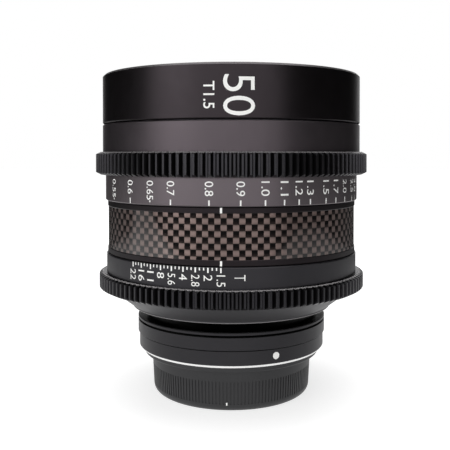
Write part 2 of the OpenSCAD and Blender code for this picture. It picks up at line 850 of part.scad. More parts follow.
// Fork that reaches through the main barrel and holds the tongue of the drive ring
module iris_fork() {
    slot = tongue_w + 2 * pin_gap;
    color("#77777b")
        difference() {
            radial_block(fork_w, fork_in, fork_end, back_a, fork_z, fork_z + fork_h);
            radial_block(slot, fork_in - cut, fork_slot_r, back_a, fork_z - cut, fork_z + fork_h + cut);
        }
}

// Window for the arm of the drive ring, cut through the walls around the iris
module arm_window(r_in, r_out) {
    half_a = asin(arm_w / 2 / cage_in) + cam_over_a;
    sector(r_in - cut, r_out + cut, rotor_z - stack_margin, rotor_top + stack_margin,
           back_a - half_a, back_a + iris_throw_a + half_a);
}

module optical_barrel() {
    color("#2e2e31")
        difference() {
            revolve([[mid_bore, mid_z], [mid_r, mid_z], [mid_r, step_z - hel_stop_w],
                     [opt_r, step_z], [opt_r, opt_top], [opt_bore, opt_top],
                     [opt_bore, cell_seat_z], [nose_r + seat_gap, cell_seat_z],
                     [nose_r + seat_gap, stop_z], [mid_bore, stop_z]]);
            arm_window(mid_bore, mid_r);
            for (a = [0, 180]) {
                radial_block(key_w, mid_r - key_pocket, mid_r + cut, a, key_z, key_z + key_h);
                radial_bar(key_screw_r, mid_bore - cut, mid_r, a, key_z + key_h / 2);
            }
        }
}

module key_screw(gap, a) {
    z = key_z + key_h / 2;
    head_in = key_end - key_head_t;
    radial_bar(key_screw_r + gap, mid_bore + key_screw_in, key_end - key_head_t / 2, a, z);
    radial_bar(key_head_r + gap, head_in, key_end, a, z);
}

module guide_keys() {
    color("#a9863f")
        for (a = [0, 180])
            difference() {
                radial_block(key_w, mid_r - key_pocket, key_end, a, key_z, key_z + key_h);
                key_screw(seat_gap, a);
            }
}

module key_screws() {
    color("#8a8a8d")
        for (a = [0, 180])
            difference() {
                key_screw(0, a);
                rotate(a)
                    translate([key_end - key_slot_d, -key_head_r, key_z + key_h / 2 - key_slot_w / 2])
                        cube([key_slot_d + cut, 2 * key_head_r, key_slot_w]);
            }
}

// Cell of the front group: stepped bore that widens to the front
module front_cell() {
    lip_r_in = glass4_hole_r + cell_lip_in;
    lock_r = glass1_rim + front_lock_w;
    color("#1a1a1c")
        revolve([[lip_r_in, front_seat_z - cell_lip_t], [nose_r, front_seat_z - cell_lip_t],
                 [nose_r, cell_seat_z], [opt_bore - seat_gap, cell_seat_z],
                 [opt_bore - seat_gap, opt_top], [cell_flange_r, opt_top], [cell_flange_r, cell_top],
                 [cell_flange_r - cell_bevel, cell_top], [lock_r, cell_top - cell_mouth_h],
                 [lock_r, glass1_edge], [glass1_rim + seat_gap, glass1_edge],
                 [glass1_rim + seat_gap, glass1_low], [front_bore + seat_gap, glass1_low],
                 [front_bore + seat_gap, front_seat_z], [lip_r_in, front_seat_z]]);
}

module front_spacer() {
    color("#2e2e31") ring(glass2_r + seat_gap, front_bore, glass3_edge, glass2_low);
}

// Pair of spanner notches across a lock ring
module spanner_notches(r_in, r_out, z0, z1) {
    for (a = [0, 180])
        radial_block(notch_w, r_in - cut, r_out + cut, a, z0, z1);
}

module inner_lock_ring() {
    top = glass2_edge + lock_ring_t;
    color("#2e2e31")
        difference() {
            ring(glass2_r + seat_gap, front_bore, glass2_edge, top);
            spanner_notches(glass2_r, front_bore, top - notch_d, top + cut);
        }
}

module front_lock_ring() {
    outer = glass1_rim + front_lock_w - seat_gap;
    top = glass1_edge + front_lock_t;
    color("#141416")
        difference() {
            revolve([[glass1_r + seat_gap, glass1_edge], [outer, glass1_edge], [outer, top],
                     [glass1_r + front_lock_w, top]]);
            spanner_notches(glass1_r, outer, top - notch_d, top + cut);
        }
}

// Glass with a flat seat around its edge. A front or back radius below zero is hollow
module glass(z, t, front, back, front_a, back_a, rim) {
    top = z + t - sign(front) * sag(abs(front), front_a);
    low = z + sign(back) * sag(abs(back), back_a);
    color("#8fa6b8", 0.5)
        difference() {
            union() {
                translate([0, 0, low]) cylinder(r = rim, h = top - low);
                if (front > 0)
                    intersection() {
                        translate([0, 0, z + t - front]) sphere(r = front, $fn = glass_fn);
                        translate([0, 0, (low + top) / 2]) cylinder(r = front_a, h = t + rim);
                    }
                if (back > 0)
                    intersection() {
                        translate([0, 0, z + back]) sphere(r = back, $fn = glass_fn);
                        translate([0, 0, z - cut]) cylinder(r = back_a, h = (low + top) / 2 - z + cut);
                    }
            }
            if (front < 0)
                translate([0, 0, z + t - front]) sphere(r = -front, $fn = glass_fn);
            if (back < 0)
                translate([0, 0, z + back]) sphere(r = -back, $fn = glass_fn);
        }
}

module glass_1() {
    glass(glass1_z, glass1_t, glass1_front, -glass1_back, glass1_r, glass1_r, glass1_rim);
}

module glass_2() {
    glass(glass2_z, glass2_t, glass2_front, -glass2_back, glass2_r, glass2_r, front_bore);
}

module glass_3() {
    glass(glass3_z, glass3_t, glass3_front, -glass3_back, glass3_r, glass3_r, front_bore);
}

module glass_4() {
    glass(glass4_z, glass4_t, glass3_back, -glass4_back, glass3_r, glass4_hole_r, front_bore);
}

module rear_cell() {
    lip_r_in = glass5_hole_r + cell_lip_in;
    color("#1a1a1c")
        revolve([[rear_bore + seat_gap, rear_cell_z], [rear_cell_r, rear_cell_z],
                 [rear_cell_r, mid_z - rear_flange_t], [rear_flange_r, mid_z - rear_flange_t],
                 [rear_flange_r, mid_z], [cage_r, mid_z], [cage_r, rear_lip_top],
                 [lip_r_in, rear_lip_top], [lip_r_in, rear_seat_z],
                 [rear_bore + seat_gap, rear_seat_z]]);
}

module rear_spacer_upper() {
    color("#2e2e31") ring(glass7_r + seat_gap, rear_bore, glass7_edge, glass6_low);
}

module rear_spacer_lower() {
    color("#2e2e31") ring(glass7_r + seat_gap, rear_bore, glass8_edge, glass7_low);
}

module rear_lock_ring() {
    low = glass8_low - rear_lock_t;
    color("#141416")
        difference() {
            ring(glass7_r + seat_gap, rear_bore, low, glass8_low);
            spanner_notches(glass7_r, rear_bore, low - cut, low + notch_d);
        }
}

module glass_5() {
    glass(glass5_z, glass5_t, -glass5_front, -glass5_back, glass5_hole_r, glass5_r, rear_bore);
}

module glass_6() {
    glass(glass6_z, glass6_t, glass5_back, glass6_back, glass5_r, glass5_r, rear_bore);
}

module glass_7() {
    glass(glass7_z, glass7_t, glass7_front, glass7_back, glass7_r, glass7_r, rear_bore);
}

module glass_8() {
    glass(glass8_z, glass8_t, glass8_front, glass8_back, glass7_r, glass7_r, rear_bore);
}

// Cup of the iris, with a pivot hole for each blade
module iris_cage() {
    color("#343438")
        difference() {
            revolve([[cage_hole_r, plate_z], [cage_in, plate_z], [cage_in, cage_z],
                     [cage_r, cage_z], [cage_r, stop_z], [cage_hole_r, stop_z]]);
            for (i = [0 : blade_n - 1])
                rotate(i * 360 / blade_n)
                    translate([pivot_r, 0, plate_z - cut])
                        cylinder(r = pin_r + run_gap, h = cage_plate_t + 2 * cut);
            arm_window(cage_in, cage_r);
        }
}

module iris_retainer() {
    color("#343438") ring(rotor_hole_r, cage_in, cage_z, cage_z + retainer_t);
}

// Slot that leads the drive pin of one blade
module cam_slot() {
    half = pin_r + pin_gap;
    step = (iris_throw_a + 2 * cam_over_a) / cam_steps;
    turns = [for (i = [0 : cam_steps]) -cam_over_a + i * step];
    outer = [for (turn = turns) cam_point(turn) + half * cam_side(turn)];
    inner = [for (i = [cam_steps : -1 : 0]) cam_point(turns[i]) - half * cam_side(turns[i])];
    polygon(concat(outer, inner));
    for (turn = [turns[0], turns[cam_steps]])
        translate(cam_point(turn)) circle(r = half, $fn = 32);
}

// Ring that turns all the blades, with the arm and the tongue that drive it
module iris_drive_ring() {
    color("#55555a") {
        translate([0, 0, rotor_z])
            linear_extrude(rotor_t)
                difference() {
                    circle(r = rotor_r);
                    circle(r = rotor_hole_r);
                    for (i = [0 : blade_n - 1])
                        rotate(i * 360 / blade_n) cam_slot();
                }
        difference() {
            radial_block(arm_w, rotor_r - cut, tongue_r, back_a, rotor_z, rotor_top);
            translate([0, 0, rotor_z - cut]) cylinder(r = rotor_r - rotor_rim / 2, h = rotor_t + 2 * cut);
        }
        radial_block(tongue_w, tongue_in, tongue_r, back_a, tongue_z, rotor_top);
    }
}

module blade_outline() {
    sweep_a = (blade_span + blade_root_a) / blade_sectors;
    sweep = [for (i = [0 : blade_sectors]) polar(2 * blade_out, i * sweep_a - blade_root_a)];
    pivot = [pivot_r, 0];
    tail = [pivot_r, -tail_l];
    middle = (iris_open_r + blade_out) / 2;
    difference() {
        intersection() {
            circle(r = blade_out);
            polygon(concat([[0, 0]], sweep));
        }
        circle(r = iris_open_r);
    }
    strip([middle, 0], pivot, tab_w);
    translate(pivot) circle(r = tab_r);
    strip(pivot, tail, tail_w);
    translate(tail) circle(r = tail_r);
}

// One blade in its own layer, with its pivot pin up and its drive pin down
module iris_blade(i) {
    low = blades_z + i * blade_pitch;
    color("#2b2b2f")
        rotate(i * 360 / blade_n) {
            translate([0, 0, low]) linear_extrude(blade_t) blade_outline();
            translate([pivot_r, 0, low]) cylinder(r = pin_r, h = stop_z - stack_margin - low);
            translate([pivot_r, -tail_l, rotor_z + stack_margin])
                cylinder(r = pin_r, h = low + blade_t - rotor_z - stack_margin);
        }
}

// Moulded cap with a rim, grip grooves, a rounded foot and tabs between the bayonet lugs
module rear_cap() {
    foot_r = cap_r - cap_taper;
    slope = cap_taper / cap_top;
    rim_r = cap_r + cap_rim_step;
    rim_z = cap_top - cap_rim_h;
    color("#2a2a2c")
        difference() {
            union() {
                rotate_extrude()
                    difference() {
                        union() {
                            polygon([[0, 0], [foot_r - cap_round, 0], [foot_r, cap_round],
                                     [cap_r, cap_top], [0, cap_top]]);
                            translate([foot_r - cap_round, cap_round]) circle(r = cap_round);
                            polygon([[cap_in, rim_z], [rim_r - edge, rim_z], [rim_r, rim_z + edge],
                                     [rim_r, cap_top - seam_edge], [rim_r - seam_edge, cap_top],
                                     [cap_in, cap_top]]);
                        }
                        polygon([[0, cap_floor], [cap_in - cap_fillet, cap_floor],
                                 [cap_in, cap_floor + cap_fillet], [cap_in, cap_top + cut],
                                 [0, cap_top + cut]]);
                        square([foot_r - cap_round - cap_foot_w, cap_recess]);
                        translate([-cap_round, 0]) square([cap_round, cap_top]);
                    }
                for (i = [0 : lug_n - 1])
                    sector(cap_tab_in, cap_in + edge, cap_tab_z, cap_tab_z + cap_tab_t,
                           (i + 0.5) * 360 / lug_n - cap_tab_a / 2, (i + 0.5) * 360 / lug_n + cap_tab_a / 2);
            }
            cap_grip(foot_r + slope * cap_groove_z);
        }
}

// Grip grooves: wedges cut a little way into the tapered wall of the cap
module cap_grip(r) {
    lean = atan(cap_taper / cap_top);
    for (i = [0 : cap_grooves - 1])
        rotate(i * 360 / cap_grooves)
            translate([r - cap_groove_d, 0, cap_groove_z])
                rotate([0, lean, 0])
                    translate([0, -cap_groove_w / 2, 0])
                        cube([cut, cap_groove_w, cap_groove_top - cap_groove_z]);
}

front_ring();
front_baffle();
main_barrel();
helicoid_retainer();
upper_trim_ring();
carbon_sleeve();
lower_trim_ring();
rear_barrel();
mount_upper_ring();
mount_lower_ring();
index_dot();
bayonet_flange();
mount_screws();
rear_mask();
focus_sleeve();
focus_gear_ring();
focus_scale_ring();
focus_set_screws();
helicoid_sleeve();
focus_drive_pin();
iris_sleeve();
iris_scale_ring();
iris_gear_ring();
iris_set_screws();
iris_fork();
optical_barrel();
guide_keys();
key_screws();
front_cell();
front_spacer();
inner_lock_ring();
front_lock_ring();
glass_1();
glass_2();
glass_3();
glass_4();
rear_cell();
rear_spacer_upper();
rear_spacer_lower();
rear_lock_ring();
glass_5();
glass_6();
glass_7();
glass_8();
iris_cage();
iris_retainer();
iris_drive_ring();
for (i = [0 : blade_n - 1])
    iris_blade(i);
rear_cap();
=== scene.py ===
import bpy
import bmesh
import math
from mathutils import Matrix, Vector


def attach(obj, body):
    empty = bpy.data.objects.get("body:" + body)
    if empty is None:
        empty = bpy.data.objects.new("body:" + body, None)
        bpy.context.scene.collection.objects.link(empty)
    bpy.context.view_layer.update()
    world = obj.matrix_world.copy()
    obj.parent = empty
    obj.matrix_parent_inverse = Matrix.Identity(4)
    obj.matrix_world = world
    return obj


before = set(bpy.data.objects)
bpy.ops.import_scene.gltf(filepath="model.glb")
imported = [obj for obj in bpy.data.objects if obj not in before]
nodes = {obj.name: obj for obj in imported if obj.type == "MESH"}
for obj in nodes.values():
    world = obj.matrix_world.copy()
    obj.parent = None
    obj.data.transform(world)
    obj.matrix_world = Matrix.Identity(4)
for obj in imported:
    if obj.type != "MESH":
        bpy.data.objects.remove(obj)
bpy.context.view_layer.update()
MM = 0.001

# Sizes of the CAD model in mm that the looks follow: radii, then heights above the floor.
FRONT_R, BAND_R, TRIM_R, CARBON_R, IRIS_R = 47.5, 46.45, 45.7, 45.45, 46.1
CAP_R, FILTER_R = 29.05, 43.0
TRIM_LO_Z, CARBON_Z, CARBON_TOP, TRIM_HI_TOP = 51.8, 53.9, 68.5, 70.5
FILTER_Z, FRONT_TOP = 108.65, 115.65

# Ranges of height in mm: the neck and grooves painted near black as painted shade (low, high), and
# edges painted light grey as painted highlights (low, high, grey).
NECK_SHADE = [(28.0, 31.81)]
RING_GROOVE_SHADE = [(21.98, 22.32), (26.62, 27.38), (28.37, 29.0)]
# The lip, rim and gear edges below are painted light grey as painted highlights.
LIP_HIGHLIGHT = (31.82, 32.1, 0.16)
RIM_HIGHLIGHT = (114.97, 115.62, 0.05)
FOCUS_GEAR_HIGHLIGHT = (87.5, 87.92, 0.14)
IRIS_GEAR_HIGHLIGHT = (44.42, 44.72, 0.26)

# Carbon weave: width and height of a tow in mm, and where the pattern starts, in tows and in mm.
TOW_W, TOW_H = 1.954, 2.01
WEAVE_TURN, WEAVE_Z = 1.09, 0.715

# Tints of the reflection on black anodised metal.
WARM, COOL = (1.0, 0.84, 0.93), (0.94, 0.91, 1.0)
# Black for the reflection tint, and near black for the colour, of painted shade in the neck and
# grooves.
BLACK, SHADE_BLACK = (0.0, 0.0, 0.0), (0.0005, 0.0005, 0.0005)


class Tree:
    """Short ways to add nodes to a node tree."""

    def __init__(self, nt):
        self.nt = nt

    def first(self, kind):
        return next(n for n in self.nt.nodes if n.type == kind)

    def node(self, kind, **props):
        n = self.nt.nodes.new(kind)
        for key, value in props.items():
            setattr(n, key, value)
        return n

    def put(self, socket, value):
        """Links a socket to another one, or gives it a value."""
        if isinstance(value, bpy.types.NodeSocket):
            self.nt.links.new(value, socket)
        elif isinstance(value, (int, float)) and socket.type in ("RGBA", "VECTOR"):
            socket.default_value = (value, value, value, 1)[: len(socket.default_value)]
        elif isinstance(value, tuple) and socket.type == "RGBA" and len(value) == 3:
            socket.default_value = (*value, 1)
        else:
            socket.default_value = value

    def math(self, op, a, b=0.0):
        n = self.node("ShaderNodeMath", operation=op)
        self.put(n.inputs[0], a)
        self.put(n.inputs[1], b)
        return n.outputs[0]

    def add(self, a, b):
        return self.math("ADD", a, b)

    def times(self, a, b):
        return self.math("MULTIPLY", a, b)

    def split(self, vector):
        n = self.node("ShaderNodeSeparateXYZ")
        self.put(n.inputs[0], vector)
        return n.outputs

    def span(self, value, lo, hi, a=0.0, b=1.0):
        """Maps the range a to b onto lo to hi, and holds it there."""
        n = self.node("ShaderNodeMapRange")
        for key, v in (("Value", value), ("From Min", a), ("From Max", b),
                       ("To Min", lo), ("To Max", hi)):
            self.put(n.inputs[key], v)
        return n.outputs[0]

    def between(self, value, lo, hi):
        return self.times(self.math("GREATER_THAN", value, lo), self.math("LESS_THAN", value, hi))

    def choose(self, fac, a, b):
        """a where fac is 1, and b where it is 0, for plain numbers."""
        return self.add(self.times(fac, a), self.times(self.math("SUBTRACT", 1.0, fac), b))

    def mix(self, fac, a, b):
        n = self.node("ShaderNodeMix", data_type="RGBA")
        self.put(n.inputs[0], fac)
        self.put(n.inputs[6], a)
        self.put(n.inputs[7], b)
        return n.outputs[2]

    def seen_rays(self):
        """1 for the rays that show the backdrop itself: from the camera and through glass."""
        path = self.node("ShaderNodeLightPath").outputs
        return self.math("MAXIMUM", path["Is Camera Ray"], path["Is Transmission Ray"])


class Mat(Tree):
    """A material with a Principled shader, in the object's own coordinates."""

    def __init__(self, name):
        self.m = bpy.data.materials.new(name)
        self.m.use_nodes = True
        super().__init__(self.m.node_tree)
        self.bsdf = self.first("BSDF_PRINCIPLED")
        self.co = self.node("ShaderNodeTexCoord").outputs["Object"]

    def set(self, **values):
        for key, value in values.items():
            self.put(self.bsdf.inputs[key.replace("_", " ")], value)

    def at_height(self, low, high):
        """1 between two heights in mm."""
        return self.between(self.split(self.co)[2], low * MM, high * MM)

    def scaled(self, sx, sy, sz):
        n = self.node("ShaderNodeMapping")
        self.put(n.inputs["Vector"], self.co)
        n.inputs["Scale"].default_value = (sx, sy, sz)
        return n.outputs[0]

    def noise(self, scale, detail=3.0, rough=0.55, co=None):
        n = self.node("ShaderNodeTexNoise")
        for key, v in (("Vector", co or self.co), ("Scale", scale), ("Detail", detail),
                       ("Roughness", rough)):
            self.put(n.inputs[key], v)
        return n.outputs[0]

    def lathe_lines(self, scale):
        """Noise drawn out around Z into the lines of turning."""
        return self.noise(scale, 2.0, co=self.scaled(0.004, 0.004, 1.0))

    def bump(self, height, strength, distance, normal=None):
        n = self.node("ShaderNodeBump")
        for key, v in (("Strength", strength), ("Distance", distance), ("Height", height)):
            self.put(n.inputs[key], v)
        if normal is not None:
            self.put(n.inputs["Normal"], normal)
        return n.outputs[0]


def tone(c, k):
    return tuple(min(1.0, v * k) for v in c)


def anodised(name, colour, rough, spec=0.35, grain=0.06, turned=0.0, tint=COOL, painted_shade=(),
             painted_highlight=None):
    """Anodised metal: fine blasted grain, faint cloudiness, and turning lines where asked. Ranges of
    heights can be painted near black with a black reflection tint, as painted shade in grooves, or
    painted light grey, as painted highlights on edges."""
    m = Mat(name)
    cloud = m.noise(70.0, 4.0)
    speck = m.noise(5200.0, 2.0)
    fac = m.add(m.times(cloud, 0.6), m.times(speck, 0.4))
    base = m.mix(fac, tone(colour, 0.72), tone(colour, 1.3))
    # Painted shade: each range of heights is coloured near black and its reflection tint set to
    # black.
    for low, high in painted_shade:
        inside = m.at_height(low, high)
        base = m.mix(inside, base, SHADE_BLACK)
        tint = m.mix(inside, tint, BLACK)
    # Painted highlight: the range of heights is coloured light grey.
    if painted_highlight:
        low, high, grey = painted_highlight
        base = m.mix(m.at_height(low, high), base, (grey, grey * 0.96, grey * 0.97))
    normal = m.bump(speck, grain, 0.00004)
    if turned:
        normal = m.bump(m.lathe_lines(9000.0), turned, 0.00003, normal)
    m.set(Base_Color=base, Specular_IOR_Level=spec, Specular_Tint=tint, Normal=normal,
          Roughness=m.span(m.noise(260.0, 3.0), rough - 0.05, rough + 0.05))
    return m


def turned_metal(name, colour, rough, metallic=1.0, aniso=0.4):
    """Bare turned metal with fine lathe lines around Z."""
    m = Mat(name)
    lines = m.lathe_lines(12000.0)
    cloud = m.noise(120.0, 3.0)
    m.set(Base_Color=m.mix(cloud, tone(colour, 0.85), tone(colour, 1.1)), Metallic=metallic,
          Roughness=m.span(lines, rough - 0.06, rough + 0.06), Anisotropic=aniso,
          Normal=m.bump(lines, 0.25, 0.00002))
    return m


def plastic(name, colour, rough, grain):
    """Moulded plastic with a fine eroded grain."""
    m = Mat(name)
    speck = m.noise(3400.0, 3.0, 0.6)
    cloud = m.noise(45.0, 4.0)
    m.set(Base_Color=m.mix(cloud, tone(colour, 0.8), tone(colour, 1.25)), Specular_IOR_Level=0.3,
          Roughness=m.span(speck, rough - 0.07, rough + 0.07), Normal=m.bump(speck, grain, 0.00006))
    return m


def paint(name, colour, rough=0.55):
    """Enamel in engraved marks, faintly uneven."""
    m = Mat(name)
    speck = m.noise(6000.0, 2.0)
    m.set(Base_Color=m.mix(speck, tone(colour, 0.94), tone(colour, 1.03)),
          Roughness=m.span(speck, rough - 0.05, rough + 0.05), Normal=m.bump(speck, 0.1, 0.00002))
    return m


def carbon(name):
    """Plain-weave carbon fibre under clear resin: tows cross over and under, two mm wide."""
    m = Mat(name)
    x, y, z = m.split(m.co)
    turn = m.math("ARCTAN2", x, m.times(y, -1.0))
    u = m.add(m.times(turn, CARBON_R / TOW_W), WEAVE_TURN)
    v = m.times(m.math("SUBTRACT", z, WEAVE_Z * MM), 1.0 / (TOW_H * MM))
    over = m.math("PINGPONG", m.add(m.math("FLOOR", u), m.math("FLOOR", v)), 1.0)
    fu, fv = m.math("FRACT", u), m.math("FRACT", v)
    arch_u = m.math("SINE", m.times(fu, math.pi))
    arch_v = m.math("SINE", m.times(fv, math.pi))
    fibre_u = m.noise(1.0, 2.0, co=m.scaled(900.0, 900.0, 9000.0))
    fibre_v = m.noise(1.0, 2.0, co=m.scaled(9000.0, 9000.0, 700.0))
    fibre = m.choose(over, fibre_v, fibre_u)
    along = m.choose(over, arch_v, arch_u)
    across = m.choose(over, arch_u, arch_v)
    # Painted reflection and painted shade: tows running around are coloured light and tows running up
    # dark, for how each reflects the light, and the dark tows get darker towards their top. All tows
    # are also darker towards their sides.
    light = m.mix(fibre, (0.155, 0.112, 0.102), (0.260, 0.192, 0.176))
    shade = m.span(fv, 0.0, 1.0, 0.15, 0.6)
    dark = m.mix(shade, (0.022, 0.0150, 0.0140), (0.0018, 0.0012, 0.0012))
    edge = m.math("POWER", across, 0.35)
    height = m.add(m.times(along, 0.7), m.times(across, 0.3))
    around = m.node("ShaderNodeTangent", direction_type="RADIAL", axis="Z")
    m.set(Base_Color=m.mix(edge, (0.006, 0.005, 0.005), m.mix(over, light, dark)), Metallic=0.8,
          Roughness=m.span(fibre, 0.36, 0.5), Specular_IOR_Level=0.3,
          Anisotropic=0.85, Anisotropic_Rotation=m.span(over, 0.25, 0.0), Tangent=around.outputs[0],
          Normal=m.bump(m.add(height, m.times(fibre, 0.12)), 0.35, 0.00012),
          Coat_Weight=1.0, Coat_Roughness=0.035, Coat_IOR=1.52)
    return m


def glass(name, film, tint):
    """Coated optical glass: a thin film gives each element its own faint reflection."""
    m = Mat(name)
    m.set(Base_Color=tint, Transmission_Weight=1.0, IOR=1.58, Roughness=0.0,
          Thin_Film_Thickness=film, Thin_Film_IOR=1.38, Specular_Tint=(0.22, 0.19, 0.26),
          Normal=m.bump(m.noise(30.0, 1.0), 0.004, 0.0001))
    return m


# Each finish with the CAD nodes that have it.
GEAR_BLACK = (0.0015, 0.0014, 0.0015)
WHITE = paint("white_paint", (0.86, 0.86, 0.84))
FRONT_BLACK = anodised("front_ring_black", (0.0016, 0.0014, 0.0015), 0.34, 0.32, tint=WARM,
                       painted_highlight=RIM_HIGHLIGHT)
FINISHES = [
    (FRONT_BLACK, "front_ring"),
    (anodised("skirt_black", (0.007, 0.0062, 0.0068), 0.40, 0.92, 0.03, 0.10, WARM), "focus_sleeve"),
    (anodised("focus_gear_black", GEAR_BLACK, 0.30, 0.42, painted_highlight=FOCUS_GEAR_HIGHLIGHT),
     "focus_gear_ring"),
    (anodised("iris_gear_black", GEAR_BLACK, 0.30, 0.42, painted_highlight=IRIS_GEAR_HIGHLIGHT), "iris_gear_ring"),
    (anodised("scale_band_black", (0.044, 0.0391, 0.0408), 0.37, 1.0, 0.03, 0.06, WARM),
     "focus_scale_ring"),
    (anodised("trim_black", (0.005, 0.0042, 0.0044), 0.36, 0.22, 0.04, 0.06, WARM),
     "upper_trim_ring lower_trim_ring"),
    (anodised("iris_band_black", (0.014, 0.0134, 0.0148), 0.38, 0.32), "iris_scale_ring iris_sleeve"),
    (anodised("rear_black", (0.022, 0.0216, 0.0225), 0.40, 0.36, painted_shade=NECK_SHADE, painted_highlight=LIP_HIGHLIGHT),
     "rear_barrel"),
    (anodised("mount_ring_black", (0.014, 0.0137, 0.0145), 0.40, 0.28, painted_shade=RING_GROOVE_SHADE),
     "mount_upper_ring mount_lower_ring"),
    (anodised("inner_alloy_grey", (0.06, 0.06, 0.065), 0.36, 0.5, 0.04, 0.25),
     "main_barrel helicoid_retainer optical_barrel iris_cage iris_retainer iris_drive_ring "
     "front_spacer inner_lock_ring rear_spacer_upper rear_spacer_lower"),
    (anodised("matt_black", (0.007, 0.007, 0.0075), 0.62, 0.2, 0.12),
     "front_baffle front_cell front_lock_ring rear_cell rear_lock_ring rear_mask"),
    (carbon("carbon_weave"), "carbon_sleeve"),
    (turned_metal("flange_steel", (0.97, 0.96, 0.95), 0.18, 0.8), "bayonet_flange"),
    (turned_metal("plain_steel", (0.55, 0.55, 0.56), 0.30, aniso=0.0),
     "mount_screws key_screws focus_drive_pin iris_fork"),
    (turned_metal("black_steel", (0.05, 0.05, 0.055), 0.35, aniso=0.0),
     "focus_set_screws iris_set_screws"),
    (turned_metal("turned_brass", (0.72, 0.54, 0.25), 0.28), "helicoid_sleeve guide_keys"),
    (turned_metal("blade_steel", (0.06, 0.06, 0.065), 0.42, 0.6, 0.0),
     " ".join("blade_%02d" % (i + 1) for i in range(11))),
    (WHITE, "index_dot"),
    (plastic("cap_plastic", (0.0225, 0.0225, 0.0240), 0.46, 0.16), "rear_cap"),
]
# Each glass element's coating thickness in nm, and its tint.
GLASSES = [
    (470.0, (0.97, 0.985, 0.99)), (430.0, (0.985, 0.98, 0.97)), (520.0, (0.98, 0.99, 0.98)),
    (390.0, (0.985, 0.985, 0.98)), (450.0, (0.985, 0.985, 0.985)), (500.0, (0.98, 0.98, 0.985)),
    (420.0, (0.985, 0.98, 0.98)), (480.0, (0.97, 0.985, 0.98)),
]
FINISHES += [(glass("glass_coat_%d" % i, film, tint), "glass_%d" % i)
             for i, (film, tint) in enumerate(GLASSES, 1)]
for finish, names in FINISHES:
    for n in names.split():
        nodes[n].data.materials.clear()
        nodes[n].data.materials.append(finish.m)


def on_ring(r, deg, z):
    """Point at radius r, an angle to the right of the index line, and a height, all in mm."""
    a = math.radians(deg)
    return Vector((r * math.sin(a) * MM, -r * math.cos(a) * MM, z * MM))


def keep(name, bm, mat, body):
    """Turns a finished bmesh into a piece that rides a body."""
    mesh = bpy.data.meshes.new(name)
    bm.to_mesh(mesh)
    bm.free()
    o = bpy.data.objects.new(name, mesh)
    bpy.context.scene.collection.objects.link(o)
    mesh.materials.append(mat.m)
    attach(o, body)


# Paint lies this far above its ring, and words are cut into strips about this wide, in mm.
LIFT, STRIP = 0.03, 0.6


def word(text, weight):
    """A flat mesh of a word in Blender's own font."""
    curve = bpy.data.curves.new("word", "FONT")
    curve.body = text
    curve.offset = weight
    curve.resolution_u = 6
    o = bpy.data.objects.new("word", curve)
    bpy.context.scene.collection.objects.link(o)
    mesh = bpy.data.meshes.new_from_object(o.evaluated_get(bpy.context.evaluated_depsgraph_get()))
    bm = bmesh.new()
    bm.from_mesh(mesh)
    bpy.data.objects.remove(o)
    bpy.data.curves.remove(curve)
    bpy.data.meshes.remove(mesh)
    return bm


def lettering(name, labels, r, body):
    """Words painted on a ring of radius r. Each label is (text, angle, top z, length, width,
    weight): it reads downwards, is centred on the angle, and takes the given mm."""
    out = bmesh.new()
    for text, deg, z_top, length, width, weight in labels:
        bm = word(text, weight)
        xs = [v.co.x for v in bm.verts]
        ys = [v.co.y for v in bm.verts]
        x0, x1, y0, y1 = min(xs), max(xs), min(ys), max(ys)
        steps = max(2, round(width / STRIP))
        for k in range(1, steps):
            bmesh.ops.bisect_plane(bm, geom=bm.verts[:] + bm.edges[:] + bm.faces[:],
                                   plane_co=(0, y0 + (y1 - y0) * k / steps, 0), plane_no=(0, 1, 0))
        place = {}
        for v in bm.verts:
            across = ((v.co.y - y0) / (y1 - y0) - 0.5) * width
            down = (v.co.x - x0) / (x1 - x0) * length
            place[v] = out.verts.new(on_ring(r + LIFT, deg + math.degrees(across / r), z_top - down))
        for f in bm.faces:
            out.faces.new([place[v] for v in f.verts])
        bm.free()
    out.normal_update()
    for f in out.faces:
        c = f.calc_center_median()
        if f.normal.dot(Vector((c.x, c.y, 0))) < 0:
            f.normal_flip()
    keep(name, out, WHITE, body)


def marks(name, lines, r, body):
    """Painted lines on a ring: each is (angle, bottom z, top z, width in mm)."""
    bm = bmesh.new()
    for deg, z0, z1, w in lines:
        half = math.degrees(w / 2 / r)
        corners = ((deg - half, z0), (deg + half, z0), (deg + half, z1), (deg - half, z1))
        bm.faces.new([bm.verts.new(on_ring(r + LIFT, a, z)) for a, z in corners])
    keep(name, bm, WHITE, body)


# Focus scale: angle of a distance in metres, which nears FAR_ANGLE at infinity.
FAR_ANGLE, FOCUS_RATE, FOCUS_ZERO = 101.06, 80.81, 0.035
DISTANCES = ["0.55", "0.6", "0.65", "0.7", "0.8", "0.9", "1.0", "1.1", "1.2", "1.3", "1.5", "1.7",
             "2.0", "2.5", "3.0", "4", "6", "10"]
NUMBER_W, FOCUS_NUMBER_TOP = 2.75, 78.6
NUMBER_LENGTH = {1: 1.9, 2: 3.6, 3: 4.6, 4: 6.2}
TICK, SHORT_TICK, TICK_W = (70.95, 72.7), (71.6, 72.2), 0.5

labels, ticks = [], []
for text in DISTANCES:
    angle = FAR_ANGLE - FOCUS_RATE / (float(text) - FOCUS_ZERO)
    labels.append((text, angle, FOCUS_NUMBER_TOP, NUMBER_LENGTH[len(text)], NUMBER_W, 0.004))
    ticks.append((angle, *(TICK if len(text) < 4 else SHORT_TICK), TICK_W))
ticks.append((FAR_ANGLE, *TICK, TICK_W))
lettering("focus_numbers", labels, BAND_R, "focus_ring")
marks("focus_ticks", ticks, BAND_R, "focus_ring")

